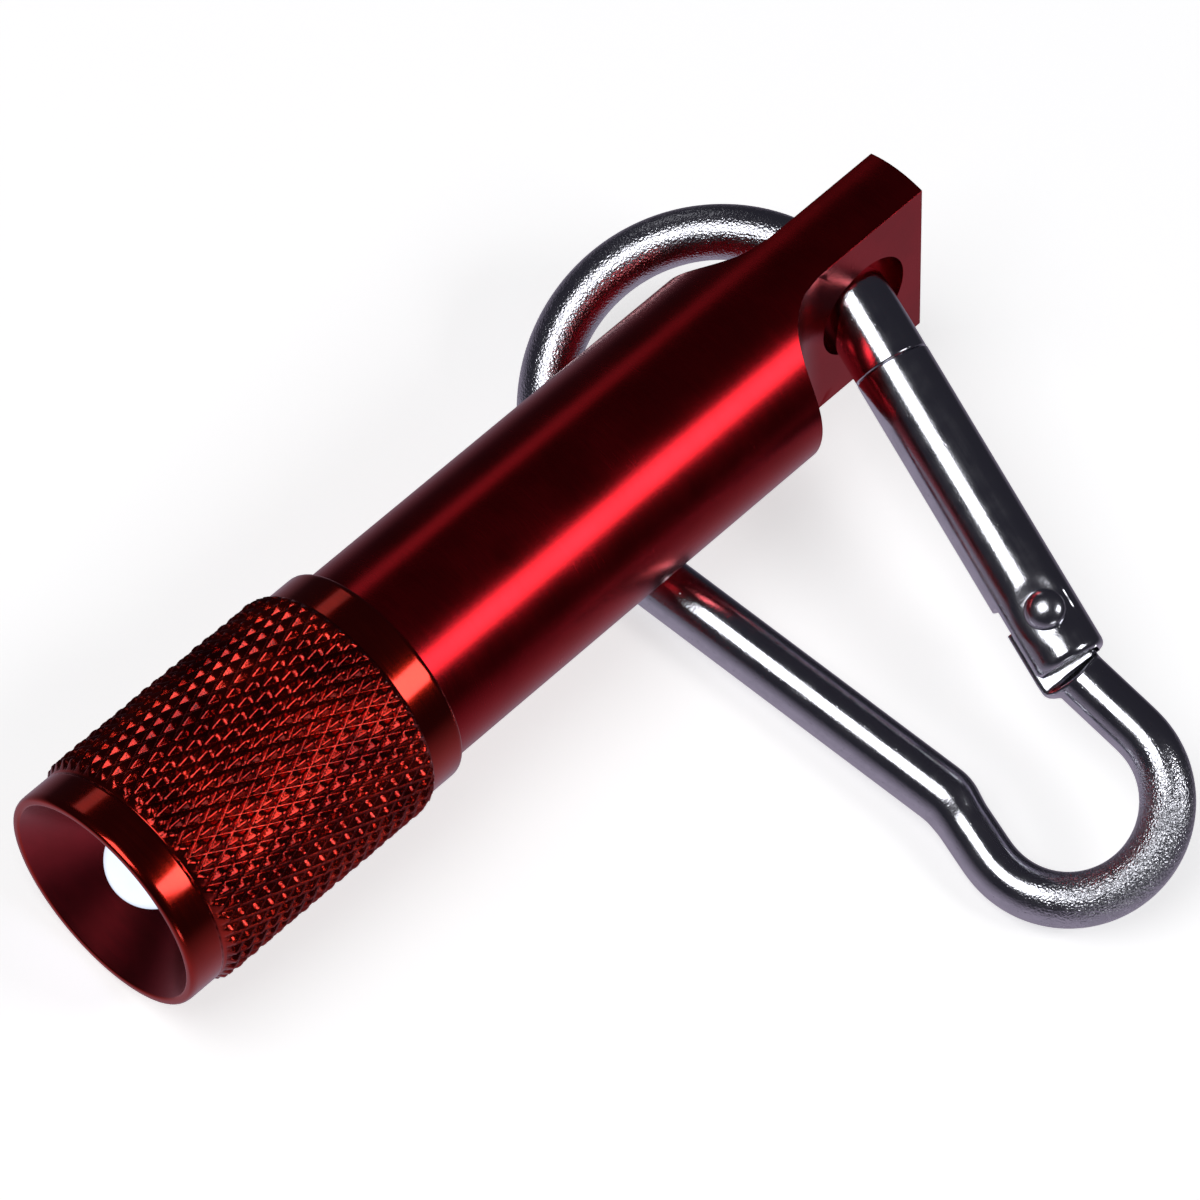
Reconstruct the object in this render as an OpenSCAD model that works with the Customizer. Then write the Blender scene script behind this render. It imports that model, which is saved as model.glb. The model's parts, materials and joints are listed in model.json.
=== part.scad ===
// Key-ring flashlight: a turned aluminium torch with a twist head, threaded by the
// hole in its flattened tail onto a pear-shaped snap hook.
// It lies as set down: head rim, hook eye and hook back on the ground, +X along the beam.

/* [Body tube] */
// Outside diameter of the tube
body_d = 12; // [11.8:0.1:12.2]
// Distance from the tail hole to the shoulder inside the collar
body_front = 36; // [35.6:0.1:36.2]
// Distance from the tail hole to the end of the tail
tail_end = 4.5; // [4.4:0.1:5.5]
// Thickness of the flattened tail
tab_t = 3.7; // [3.4:0.1:3.8]
// Diameter of the tail hole
tail_hole_d = 6.2; // [6.1:0.1:6.6]
// Distance from the tail hole to where the flats start to run out
flat_len = 3.4; // [3.2:0.1:5]
// Bore for the cells
bore_d = 9; // [8.9:0.05:9.1]

/* [Head] */
// Diameter over the knurl
knurl_d = 14; // [13.8:0.1:15]
// Length of the knurled band
knurl_len = 14.8; // [14:0.1:15]
// Diameter of the front ring
lip_d = 13.24; // [13:0.01:13.6]
// Length of the front ring
lip_len = 2.4; // [2.2:0.1:2.6]
// Diameter of the rear collar
collar_d = 13.1; // [12.9:0.1:13.4]
// Length of the rear collar
collar_len = 2.2; // [2:0.1:2.4]
// Mouth diameter of the reflector cone
cone_mouth_d = 12.3; // [12:0.1:12.4]
// Depth of the reflector cone
cone_depth = 4.4; // [4:0.1:4.6]

/* [Light source] */
// Diameter of the lamp
led_d = 5; // [5:0.01:5.05]
// Diameter of one button cell
cell_d = 7.9; // [7.8:0.05:7.95]
// Height of one button cell
cell_h = 3.6; // [3.5:0.05:3.6]

/* [Snap hook] */
// Radius of the large loop, at the middle of the wire
loop_r = 9.4; // [9.4:0.05:9.6]
// Radius of the small eye, at the middle of the wire
eye_r = 5.2; // [5:0.1:5.4]
// Diameter of the wire in the loops
wire_d = 3; // [2.9:0.05:3.05]
// Diameter of the straight back
back_d = 3.3; // [3.1:0.05:3.4]
// Diameter of the gate
gate_d = 4.3; // [4.1:0.05:4.35]

/* [Resting position] */
// Height of the tail hole above the ground
hole_height = 10.3; // [10.2:0.1:10.5]
// Nose-down lean of the torch
torch_lean = 3.7; // [3.5:0.1:3.9]
// Turn of the torch about its own axis
torch_roll = 13.4; // [13:0.1:13.8]

/* [Hidden] */
$fn = 64;
CELLS = 4;

anodised_red = [0.72, 0.05, 0.06];
head_red = [0.85, 0.13, 0.08];
nickel = [0.72, 0.70, 0.74];
spring_steel = [0.62, 0.63, 0.66];
brass_yellow = [0.80, 0.62, 0.28];
plastic_black = [0.06, 0.06, 0.07];
eps = 0.01;

// Body: distances run along the beam from the middle of the tail hole
body_r = body_d / 2;
bore_r = bore_d / 2;
neck_r = 5.4;
neck_front = body_front + 7.5;
bore_back = 14;
ring_groove_z = 41.2;
ring_section_r = 0.28;
ring_r = 5.2;

// Head
thread_r = neck_r + 0.1;
collar_bore_r = body_r + 0.15;
collar_back = body_front - 1.1;
knurl_back = collar_back + collar_len;
knurl_front = knurl_back + knurl_len;
head_front = knurl_front + lip_len;
pocket_back = neck_front + 0.3;
pocket_front = pocket_back + 2.2;
pocket_r = 4.6;
lip_round = 0.4;
lamp_hole_r = led_d / 2 + 0.1;

// Lamp and contacts
flange_back = pocket_back + 0.8;
flange_t = 1;
flange_r = 2.9;
lamp_len = 8.6;
dome_z = flange_back + lamp_len - led_d / 2;
lead_x = 1.27;
lead_w = 0.5;
cells_back = 24;
cells_front = cells_back + CELLS * cell_h;
contact_gap = 0.05;
button_t = 0.6;
board_t = 0.8;
board_back = cells_front + contact_gap + button_t;
holder_back = board_back + board_t;
holder_stem_r = 3.2;
ground_ring_t = 0.2;

// Snap hook, in its own plane, from the middle of the large loop
wire_r = wire_d / 2;
back_r = back_d / 2;
gate_r = gate_d / 2;
nose_angle = 166.7;
nose_inset = 0.37;
nose_back = 1.2;
gate_angle = 75.8;
back_angle = 8.1;
back_len = 22.5;
eye_pos = [1.75, 28.3];
neck_turn = -11.6;
leg_turn = 181.7;
nose_len = 3.1;
gate_start = nose_len + 0.2;
rivet_dist = 18.85;
rivet_side = 0.35;
gate_end = 21.8;
slot_t = 2.2;
slot_start = 17.3;
slot_depth = 1.7;
tang_t = 1.6;
tang_r = 1.3;
tang_inner = 2.1;
tang_outer = 1.5;
rivet_r = 0.75;
rivet_head_r = 1;
spring_bore_r = 1.1;
spring_start = 7.6;
plunger_len = 6;
wire_end = loop_r * [cos(nose_angle), sin(nose_angle)];
nose_pos = wire_end * (1 - nose_inset / loop_r);
back_pos = loop_r * [cos(back_angle), sin(back_angle)];
kink_pos = back_pos + back_len * [cos(back_angle + 90), sin(back_angle + 90)];
back_start = back_pos + (kink_pos - back_pos) * 0.1;
neck_pos = eye_pos + eye_r * [cos(neck_turn), sin(neck_turn)];
leg_pos = eye_pos + eye_r * [cos(leg_turn), sin(leg_turn)];
leg_top = nose_pos + (gate_end + 0.5) * [cos(gate_angle), sin(gate_angle)];
hook_pivot = [-9, -0.05, -0.5];
hook_turn = [-3.2, 29.7, -1.4];
hole_pos = [-24.85, -11.85, hole_height];

// Places a shape whose Z runs along the beam from the middle of the tail hole
module on_torch() {
    translate(hole_pos)
        rotate([torch_roll, torch_lean, 0])
            rotate([0, 90, 0])
                children();
}

// Places a shape drawn in the plane of the snap hook
module on_hook() {
    translate(hole_pos)
        rotate(hook_turn)
            translate(-hook_pivot)
                children();
}

// Round bar between two points of the hook's plane, with a radius at each end
module bar(p, q, r1, r2) {
    d = q - p;
    translate([p[0], p[1], 0])
        rotate([0, 0, atan2(d[1], d[0])])
            rotate([0, 90, 0])
                cylinder(h = norm(d), r1 = r1, r2 = r2);
}

// Places a shape whose X runs along the gate from the nose towards the rivet
module along_gate(dist) {
    translate([nose_pos[0], nose_pos[1], 0])
        rotate([0, 0, gate_angle])
            translate([dist, 0, 0])
                children();
}

// Helical spring along Z: one ring of points for each step round the coil
function coil_ring(r, wire, pitch, turn, sides) =
    [for (k = [0:sides - 1])
        let (a = 360 * k / sides, rr = r + wire * cos(a))
            [rr * cos(turn * 360), rr * sin(turn * 360), pitch * turn + wire * sin(a)]];

module coil(r, wire, pitch, turns, sides = 8, steps = 16) {
    rings = turns * steps;
    points = [for (i = [0:rings])
        each coil_ring(r, wire, pitch, i / steps, sides)];
    walls = [for (i = [0:rings - 1], k = [0:sides - 1])
        let (n = (k + 1) % sides, a = i * sides, b = a + sides)
            [a + k, b + k, b + n, a + n]];
    caps = [[for (k = [0:sides - 1]) k],
        [for (k = [sides - 1:-1:0]) rings * sides + k]];
    polyhedron(points, concat(walls, caps), convexity = 10);
}

// Section of one side's milled flat: straight cut, then a round run-out
module flat_section() {
    run_r = body_r - tab_t / 2;
    translate([tab_t / 2, -20])
        square([20, 20 + flat_len]);
    translate([body_r, flat_len])
        circle(r = run_r);
}

module body_tube() {
    color(anodised_red)
        on_torch()
            difference() {
                translate([0, 0, -tail_end])
                    cylinder(r = body_r, h = body_front + tail_end);
                for (side = [0, 180])
                    rotate([0, 0, side])
                        rotate([90, 0, 90])
                            linear_extrude(height = 2 * body_d, center = true)
                                flat_section();
                rotate([90, 0, 0])
                    cylinder(r = tail_hole_d / 2, h = body_d, center = true);
                translate([0, 0, bore_back])
                    cylinder(r = bore_r, h = 60);
            }
    color(anodised_red)
        on_torch()
            translate([0, 0, body_front])
                difference() {
                    cylinder(r = neck_r, h = neck_front - body_front);
                    translate([0, 0, -1])
                        cylinder(r = bore_r, h = 20);
                    translate([0, 0, ring_groove_z - body_front - 0.35])
                        difference() {
                            cylinder(r = neck_r + 1, h = 0.7);
                            cylinder(r = ring_r - ring_section_r - 0.02, h = 2);
                        }
                }
}

module neck_o_ring() {
    color(plastic_black)
        on_torch()
            translate([0, 0, ring_groove_z])
                rotate_extrude()
                    translate([ring_r, 0])
                        circle(r = ring_section_r, $fn = 24);
}

module battery_sleeve() {
    color("ivory")
        on_torch()
            translate([0, 0, cells_back - 1])
                difference() {
                    cylinder(r = bore_r - 0.1, h = CELLS * cell_h + 0.8);
                    translate([0, 0, -1])
                        cylinder(r = cell_d / 2 + 0.1, h = 20);
                }
}

module button_cell(i) {
    color("lightgray")
        on_torch()
            translate([0, 0, cells_back + (i - 1) * cell_h]) {
                cylinder(r = cell_d / 2 - 0.5, h = 0.6);
                translate([0, 0, 0.6])
                    cylinder(r = cell_d / 2, h = cell_h - 0.6);
            }
}

module tail_spring() {
    turns = 5;
    wire = 0.25;
    color(spring_steel)
        on_torch()
            translate([0, 0, bore_back + wire])
                coil(3, wire, (cells_back - bore_back - 2 * wire) / turns, turns);
}

module head_shell() {
    knurl_r = knurl_d / 2;
    lip_r = lip_d / 2;
    color(head_red)
        on_torch()
            difference() {
                union() {
                    translate([0, 0, collar_back + lip_round])
                        cylinder(r = collar_d / 2, h = collar_len - lip_round);
                    translate([0, 0, collar_back])
                        cylinder(r1 = collar_d / 2 - lip_round, r2 = collar_d / 2, h = lip_round);
                    translate([0, 0, knurl_back])
                        cylinder(r = knurl_r, h = knurl_len);
                    translate([0, 0, knurl_front])
                        cylinder(r = lip_r, h = lip_len - lip_round);
                    translate([0, 0, head_front - lip_round])
                        cylinder(r1 = lip_r, r2 = cone_mouth_d / 2, h = lip_round);
                }
                translate([0, 0, head_front - cone_depth])
                    cylinder(r1 = lamp_hole_r, r2 = cone_mouth_d / 2, h = cone_depth);
                translate([0, 0, pocket_back])
                    cylinder(r = lamp_hole_r, h = 20);
                translate([0, 0, pocket_back - eps])
                    cylinder(r = pocket_r, h = pocket_front - pocket_back + eps);
                translate([0, 0, 30])
                    cylinder(r = thread_r, h = pocket_back - 30);
                translate([0, 0, 30])
                    cylinder(r = collar_bore_r, h = body_front + 0.3 - 30);
            }
}

// Flat strips that carry the lamp's chip and its wire, with their leads
module lead_frame(side, top, strip_w) {
    translate([side * lead_x - lead_w / 2, -lead_w / 2, holder_back])
        cube([lead_w, lead_w, flange_back + flange_t - holder_back]);
    translate([side * (lead_x - 0.2) - strip_w / 2, -lead_w / 2, flange_back + flange_t])
        cube([strip_w, lead_w, top - flange_back - flange_t]);
}

module cathode_shape() {
    cup_z = dome_z - 1.6;
    lead_frame(-1, cup_z, 1.3);
    translate([-0.5, 0, cup_z])
        cylinder(r = 0.8, h = 0.9);
}

module anode_shape() {
    lead_frame(1, dome_z - 1, 0.8);
}

module led_cathode() {
    color(spring_steel)
        on_torch()
            difference() {
                cathode_shape();
                translate([-0.5, 0, dome_z - 1.6 + 0.4])
                    cylinder(r1 = 0.35, r2 = 0.65, h = 0.5 + eps);
            }
}

module led_anode() {
    color(spring_steel)
        on_torch()
            anode_shape();
}

module led_chip() {
    color("gold")
        on_torch()
            translate([-0.5 - 0.16, -0.16, dome_z - 1.2])
                cube([0.32, 0.32, 0.16]);
}

module led_lens() {
    lamp_r = led_d / 2;
    color([0.95, 0.97, 1, 0.6])
        on_torch()
            difference() {
                union() {
                    translate([0, 0, flange_back])
                        cylinder(r = flange_r, h = flange_t);
                    translate([0, 0, flange_back + flange_t])
                        cylinder(r = lamp_r, h = dome_z - flange_back - flange_t);
                    translate([0, 0, dome_z])
                        rotate_extrude($fn = 96)
                            intersection() {
                                circle(r = lamp_r);
                                square([lamp_r, lamp_r]);
                            }
                }
                cathode_shape();
                anode_shape();
            }
}

module led_holder() {
    color(plastic_black)
        on_torch()
            difference() {
                union() {
                    translate([0, 0, holder_back])
                        cylinder(r = bore_r - 0.25, h = neck_front - holder_back);
                    translate([0, 0, holder_back])
                        cylinder(r = holder_stem_r, h = flange_back - holder_back);
                    translate([0, 0, pocket_back + 0.05])
                        cylinder(r = pocket_r - 0.05, h = flange_back - pocket_back + 0.65);
                }
                translate([0, 0, flange_back])
                    cylinder(r = flange_r + 0.05, h = 3);
                for (side = [-1, 1])
                    translate([side * lead_x - lead_w / 2, -lead_w / 2, holder_back - 1])
                        cube([lead_w, lead_w, 12]);
            }
}

module ground_ring() {
    color(brass_yellow)
        on_torch()
            translate([0, 0, neck_front + contact_gap])
                difference() {
                    cylinder(r = neck_r - 0.1, h = ground_ring_t);
                    translate([0, 0, -1])
                        cylinder(r = holder_stem_r + 0.1, h = 3);
                }
}

module contact_board() {
    color("seagreen")
        on_torch()
            translate([0, 0, board_back])
                cylinder(r = bore_r - 0.25, h = board_t);
}

module contact_button() {
    color(brass_yellow)
        on_torch()
            translate([0, 0, board_back - button_t])
                cylinder(r = 1.4, h = button_t);
}

// Ball that joins two lengths of the hook's wire
module joint_ball(p, r) {
    translate([p[0], p[1], 0])
        sphere(r = r + 0.02);
}

// Flattened end of the wire that the rivet passes through
module tang() {
    along_gate(rivet_dist)
        difference() {
            union() {
                translate([0, rivet_side, 0])
                    cylinder(r = tang_r, h = tang_t, center = true);
                translate([0, -tang_inner, -tang_t / 2])
                    cube([gate_end - rivet_dist + 1, tang_inner + tang_outer, tang_t]);
            }
            translate([0, rivet_side, 0])
                cylinder(r = rivet_r + 0.1, h = 4, center = true);
        }
}

module carabiner_frame() {
    color(nickel)
        on_hook() {
            rotate([0, 0, nose_angle])
                rotate_extrude(angle = 360 + back_angle - nose_angle)
                    translate([loop_r, 0])
                        circle(r = wire_r);
            bar(back_pos, back_start, wire_r, back_r);
            joint_ball(back_start, back_r);
            bar(back_start, kink_pos, back_r, back_r);
            for (p = [wire_end, back_pos, neck_pos, leg_pos])
                joint_ball(p, wire_r);
            joint_ball(kink_pos, back_r);
            bar(kink_pos, neck_pos, back_r, wire_r);
            translate([eye_pos[0], eye_pos[1], 0])
                rotate([0, 0, neck_turn])
                    rotate_extrude(angle = leg_turn - neck_turn)
                        translate([eye_r, 0])
                            circle(r = wire_r);
            bar(leg_pos, leg_top, wire_r, wire_r);
            tang();
            along_gate(-nose_back - 1)
                rotate([0, 90, 0])
                    cylinder(r1 = wire_r - 0.25, r2 = gate_r - 0.05, h = 1 + eps);
            along_gate(-nose_back)
                rotate([0, 90, 0])
                    cylinder(r = gate_r - 0.05, h = nose_len + nose_back);
        }
}

module carabiner_gate() {
    color(nickel)
        on_hook()
            along_gate(0)
                difference() {
                    translate([gate_start, 0, 0])
                        rotate([0, 90, 0])
                            cylinder(r = gate_r, h = gate_end - gate_start);
                    translate([slot_start, slot_depth - 10, -slot_t / 2])
                        cube([10, 10, slot_t]);
                    translate([spring_start, 0, 0])
                        rotate([0, 90, 0])
                            cylinder(r = spring_bore_r, h = slot_start - spring_start + 1);
                    translate([rivet_dist, rivet_side, 0])
                        cylinder(r = rivet_r, h = 10, center = true);
                }
}

module gate_rivet() {
    color(nickel)
        on_hook()
            along_gate(rivet_dist)
                translate([0, rivet_side, 0]) {
                    cylinder(r = rivet_r, h = gate_d + 0.4, center = true);
                    for (side = [0, 180])
                        rotate([side, 0, 0])
                            translate([0, 0, gate_r])
                                intersection() {
                                    sphere(r = rivet_head_r);
                                    translate([-2, -2, 0])
                                        cube(4);
                                }
                }
}

module gate_spring() {
    turns = 5;
    wire = 0.15;
    color(spring_steel)
        on_hook()
            along_gate(spring_start + wire)
                rotate([0, 90, 0])
                    coil(0.85, wire, 0.6, turns);
}

module gate_plunger() {
    plunger_start = spring_start + 3.4;
    color(spring_steel)
        on_hook()
            along_gate(plunger_start)
                rotate([0, 90, 0])
                    cylinder(r = spring_bore_r - 0.05, h = plunger_len);
}

body_tube();
neck_o_ring();
battery_sleeve();
button_cell(1);  // button_cell_1
button_cell(2);  // button_cell_2
button_cell(3);  // button_cell_3
button_cell(4);  // button_cell_4
tail_spring();
head_shell();
led_lens();
led_cathode();
led_anode();
led_chip();
led_holder();
ground_ring();
contact_board();
contact_button();
carabiner_frame();
carabiner_gate();
gate_rivet();
gate_spring();
gate_plunger();
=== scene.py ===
"""Key-ring torch: a turned, red anodised aluminium tube with a knurled twist head and a clear
lamp, threaded by the hole in its flattened tail onto a pear-shaped snap hook of bright wire.

Sizes are in millimetres in the pieces' own frames and in metres in the row frame. Every visible
surface is a function of two parameters worked out with numpy and put into its mesh at once.
"""
from __future__ import annotations

import json
import logging
import math
from collections.abc import Sequence
from dataclasses import dataclass, field
from enum import Enum

import bmesh
import bpy
import numpy as np
from mathutils import Euler, Matrix, Vector


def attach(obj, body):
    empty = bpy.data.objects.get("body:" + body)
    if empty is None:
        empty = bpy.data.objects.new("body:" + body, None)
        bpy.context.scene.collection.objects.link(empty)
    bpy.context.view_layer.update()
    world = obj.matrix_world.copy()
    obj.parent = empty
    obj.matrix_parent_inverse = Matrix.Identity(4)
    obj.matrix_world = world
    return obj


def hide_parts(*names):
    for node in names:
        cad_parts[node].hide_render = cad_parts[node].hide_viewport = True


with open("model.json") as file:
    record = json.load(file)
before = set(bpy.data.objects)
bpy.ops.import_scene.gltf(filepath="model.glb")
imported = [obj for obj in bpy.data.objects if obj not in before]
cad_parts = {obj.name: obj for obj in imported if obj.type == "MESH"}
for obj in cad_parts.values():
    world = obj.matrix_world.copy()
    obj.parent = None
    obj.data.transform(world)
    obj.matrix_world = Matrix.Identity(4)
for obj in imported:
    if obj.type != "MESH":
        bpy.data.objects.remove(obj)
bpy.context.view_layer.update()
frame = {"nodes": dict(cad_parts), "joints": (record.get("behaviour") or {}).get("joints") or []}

log = logging.getLogger("torch")

MM = 0.001
WELD = 2e-6
SKIN = "skin"
CREST = "crest"
BENT = "bent"
Pair = tuple[float, float]
Triple = tuple[float, float, float]
RGBA = tuple[float, float, float, float]
HOOK_TILT = (-3.2, 29.7, -1.4)
HOOK_OFFSET = (9.0, 0.05, 0.5)


class Marks(Enum):
    """How a tool or a die has left its marks on a surface."""

    AROUND = "lines round the stock, as from a lathe"
    ALONG = "lines along the stock, as from a drawing die"
    NONE = "no lines, as from a mould"


# ---- places


@dataclass(frozen=True)
class Place:
    """A rigid frame of the assembly.

    Args:
        origin: its middle in the row frame, in metres.
        axes: its x, y and z directions as the columns of a 3 by 3 array.
    """

    origin: np.ndarray
    axes: np.ndarray

    def to_row(self, points: np.ndarray) -> np.ndarray:
        """Millimetre points of this frame, moved into the row frame in metres."""
        return self.origin + MM * (points @ self.axes.T)

    def moved(self, offset: Sequence[float], axes: np.ndarray | None = None) -> Place:
        """A frame set off from this one.

        Args:
            offset: where its origin is in this frame, in millimetres.
            axes: its directions in this frame, as columns.

        Returns:
            The new frame.
        """
        turn = np.eye(3) if axes is None else axes
        return Place(self.to_row(np.asarray(offset, float)), self.axes @ turn)


def unit(v: np.ndarray) -> np.ndarray:
    """The same direction, of length one."""
    return v / np.linalg.norm(v)


def joint(name: str) -> dict:
    """The record's entry for a joint."""
    return next(j for j in frame["joints"] if j["name"] == name)


def torch_place() -> Place:
    """The torch's frame: z runs along the beam from the tail hole's middle, y along that hole."""
    z = unit(np.array(joint("head_twist")["axis"], float))
    y = unit(np.array(joint("hook_swing")["axis"], float))
    x = unit(np.cross(y, z))
    return Place(np.array(joint("hook_swing")["pos_m"], float), np.stack([x, y, z], 1))


def hook_place() -> Place:
    """The hook's frame: z stands on its wire's plane, and the big loop's middle is the origin.

    Its tilt is in degrees, and its offset from the tail hole in millimetres.
    """
    tilt = Euler([math.radians(a) for a in HOOK_TILT], "XYZ")
    hole = Place(np.array(joint("hook_swing")["pos_m"], float), np.array(tilt.to_matrix(), float))
    return hole.moved(HOOK_OFFSET)


# ---- meshes


def sheet(*parts: np.ndarray | float) -> np.ndarray:
    """Points from their separate coordinates, each spread over the whole grid."""
    return np.stack(np.broadcast_arrays(*parts), -1)


def polar(radius: np.ndarray | float, angle: np.ndarray, *rest: np.ndarray) -> np.ndarray:
    """Points at a radius and an angle, (r cos a, r sin a), and any further coordinates."""
    return sheet(radius * np.cos(angle), radius * np.sin(angle), *rest)


def lengths(line: np.ndarray) -> np.ndarray:
    """How far along a line of points each of them lies."""
    return np.concatenate([[0], np.cumsum(np.linalg.norm(np.diff(line, axis=0), axis=1))])


def placed(name: str, data: bpy.types.ID) -> bpy.types.Object:
    """A new object that holds the data, linked into the scene."""
    obj = bpy.data.objects.new(name, data)
    bpy.context.scene.collection.objects.link(obj)
    return obj


def grid_faces(rows: int, cols: int, loop_cols: bool = False) -> np.ndarray:
    """Quads of a grid of points, one for each cell between neighbouring rows and columns.

    Args:
        rows: number of rows of points.
        cols: number of points in a row.
        loop_cols: whether the last column joins the first.

    Returns:
        An n by 4 array of point numbers.
    """
    i, j = np.meshgrid(np.arange(rows - 1), np.arange(cols if loop_cols else cols - 1),
                       indexing="ij")
    below, right = i + 1, (j + 1) % cols
    quads = [i * cols + j, i * cols + right, below * cols + right, below * cols + j]
    return np.stack(quads, -1).reshape(-1, 4)


@dataclass
class Shell:
    """Patches of surface that together close one solid.

    Args:
        place: the frame that the points are given in.
    """

    place: Place
    points: list[np.ndarray] = field(default_factory=list)
    faces: list[tuple[np.ndarray, int]] = field(default_factory=list)
    values: dict[str, list[np.ndarray]] = field(default_factory=dict)
    count: int = 0

    def add(self, grid: np.ndarray, faces: np.ndarray | None = None, finish: int = 0,
            loop_cols: bool = False, **values: np.ndarray) -> Shell:
        """Adds a patch.

        Args:
            grid: rows by columns by 3 points, in millimetres.
            faces: the patch's faces, where they aren't simply the grid's cells.
            finish: number of the finish that the patch wears.
            loop_cols: whether the last column joins the first.
            values: named numbers or vectors, one for each point.

        Returns:
            This shell.
        """
        rows, cols = grid.shape[:2]
        if faces is None:
            faces = grid_faces(rows, cols, loop_cols)
        self.points.append(grid.reshape(-1, 3))
        self.faces.append((faces + self.count, finish))
        for name, value in values.items():
            self.values.setdefault(name, []).append(value.reshape(rows * cols, -1))
        self.count += rows * cols
        return self

    def mesh(self, name: str) -> bpy.types.Mesh:
        """Writes the patches into one smooth-shaded mesh in the row frame, merged where they meet.

        Args:
            name: the mesh's name.

        Returns:
            The mesh, its faces outwards.
        """
        local = np.concatenate(self.points)
        mesh = bpy.data.meshes.new(name)
        mesh.vertices.add(len(local))
        mesh.vertices.foreach_set("co", self.place.to_row(local).astype(np.float32).ravel())
        corners = np.concatenate([f.ravel() for f, _ in self.faces])
        sizes = np.concatenate([np.full(len(f), f.shape[1]) for f, _ in self.faces])
        slots = np.concatenate([np.full(len(f), s) for f, s in self.faces])
        mesh.loops.add(len(corners))
        mesh.loops.foreach_set("vertex_index", corners.astype(np.int32))
        mesh.polygons.add(len(sizes))
        mesh.polygons.foreach_set("loop_start", (np.cumsum(sizes) - sizes).astype(np.int32))
        mesh.polygons.foreach_set("material_index", slots.astype(np.int32))
        mesh.update(calc_edges=True)
        for label, parts in {SKIN: [local], **self.values}.items():
            value = np.concatenate(parts).astype(np.float32)
            kind, key = ("FLOAT_VECTOR", "vector") if value.shape[1] == 3 else ("FLOAT", "value")
            mesh.attributes.new(label, kind, "POINT").data.foreach_set(key, value.ravel())
        bm = bmesh.new()
        bm.from_mesh(mesh)
        bmesh.ops.remove_doubles(bm, verts=bm.verts, dist=WELD)
        bmesh.ops.dissolve_degenerate(bm, edges=bm.edges, dist=WELD)
        bmesh.ops.recalc_face_normals(bm, faces=bm.faces)
        bm.to_mesh(mesh)
        bm.free()
        mesh.polygons.foreach_set("use_smooth", np.ones(len(mesh.polygons), bool))
        mesh.update()
        return mesh


@dataclass(frozen=True)
class Edge:
    """A small bevel along every sharp edge, width in millimetres."""

    width: float
    segments: int = 2
    angle: float = 32.0


def piece(name: str, shell: Shell, body: str, finishes: Sequence[bpy.types.Material],
          replaces: Sequence[str], edge: Edge | None = None) -> None:
    """Makes a shell into a piece of the torch.

    Args:
        name: the piece's name.
        shell: its surface.
        body: the moving body that it rides on.
        finishes: its materials, in the order of the patches' numbers.
        replaces: the frame's nodes that it is shown for.
        edge: the bevel of its sharp edges.
    """
    mesh = shell.mesh(name)
    obj = placed(name, mesh)
    for finish in finishes:
        mesh.materials.append(finish)
    if edge:
        bevel = obj.modifiers.new("edges", "BEVEL")
        bevel.width, bevel.segments = edge.width * MM, edge.segments
        bevel.limit_method, bevel.angle_limit = "ANGLE", math.radians(edge.angle)
        bevel.harden_normals = True
    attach(obj, body)
    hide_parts(*replaces)
    log.info("%s: %d faces on %s", name, len(mesh.polygons), body)


def rounded(points: Sequence[Sequence[float]], radii: Sequence[float],
            steps: int = 4) -> np.ndarray:
    """A polyline with its corners cut by small curves.

    Each corner is replaced by a parabola between the points at the given distance before and
    after it: (1 - t)^2 a + 2 t (1 - t) corner + t^2 b.

    Args:
        points: the corners, as pairs.
        radii: the distance cut from each corner, in millimetres; 0 keeps it sharp.
        steps: number of steps round a corner.

    Returns:
        The points of the new line.
    """
    p = np.asarray(points, float)
    n = len(p)
    t = np.linspace(0, 1, steps + 1)[:, None]
    out = []
    for k in range(n):
        if radii[k] == 0 or k in (0, n - 1):
            out.append(p[k:k + 1])
            continue
        before, after = p[k - 1] - p[k], p[k + 1] - p[k]
        a = p[k] + before * min(0.5, radii[k] / np.linalg.norm(before))
        b = p[k] + after * min(0.5, radii[k] / np.linalg.norm(after))
        out.append((1 - t) ** 2 * a + 2 * t * (1 - t) * p[k] + t ** 2 * b)
    return np.concatenate(out)


def revolved(profile: np.ndarray, angles: np.ndarray) -> np.ndarray:
    """Points of a profile turned about z.

    Args:
        profile: rows of (z, r).
        angles: the angles of the columns, in radians.

    Returns:
        Rows by columns by 3 points.
    """
    return polar(profile[:, 1:2], angles, profile[:, :1])


def turn(count: int) -> np.ndarray:
    """That many equal angles round a full turn, the last short of the first."""
    return np.arange(count) * 2 * math.pi / count


def smoothstep(low: float, high: float, x: np.ndarray) -> np.ndarray:
    """0 below low, 1 above high, and 3 t^2 - 2 t^3 between."""
    t = np.clip((x - low) / (high - low), 0, 1)
    return t * t * (3 - 2 * t)


# ---- finishes


Socket = bpy.types.NodeSocket
Inputs = dict[str | int, object]


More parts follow.
